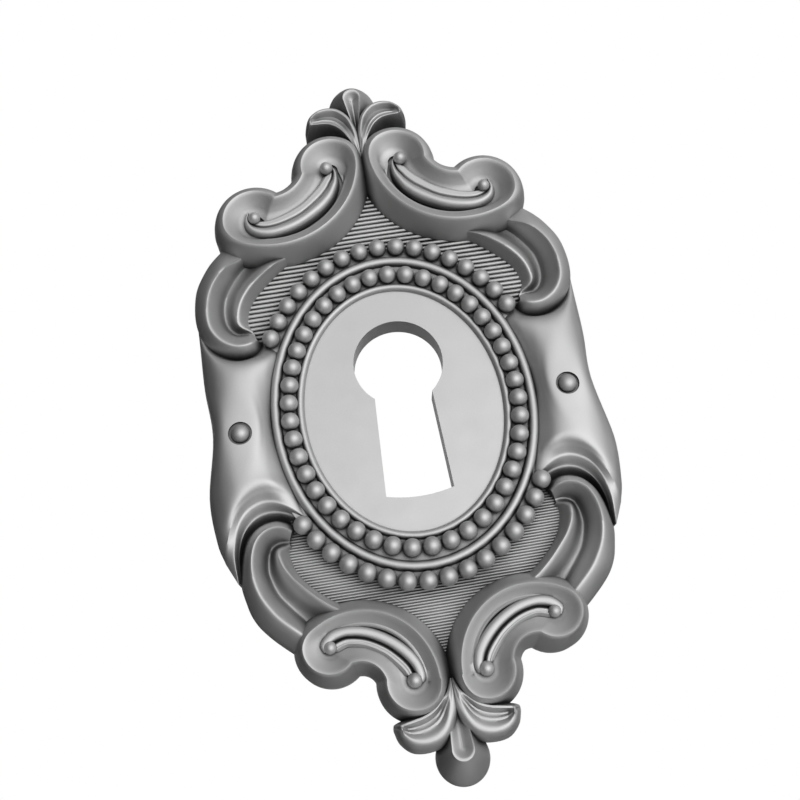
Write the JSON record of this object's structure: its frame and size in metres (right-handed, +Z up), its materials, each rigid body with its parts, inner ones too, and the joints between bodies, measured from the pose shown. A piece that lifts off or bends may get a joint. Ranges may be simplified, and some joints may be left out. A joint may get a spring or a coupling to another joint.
{
  "type": "keyhole escutcheon",
  "caption": "Cast keyhole escutcheon with a beaded oval frame round the keyhole, scroll plaques, ribbed leaves and palmette finials, nailed on with round-head pins.",
  "frame": {"origin": "midway between the two pins' axes, on the plate's flat back face", "axes": "+Z up along the plate's length, -Y out of the carved front, +Y into the door, +X to the viewer's right"},
  "size_m": [0.0458, 0.0144, 0.0852],
  "materials": {
    "cast_metal": "satin grey",
    "pin_metal": "satin grey"
  },
  "bodies": {
    "root": {"escutcheon_plate": "cast_metal", "escutcheon_pins": "pin_metal"}
  },
  "joints": []
}
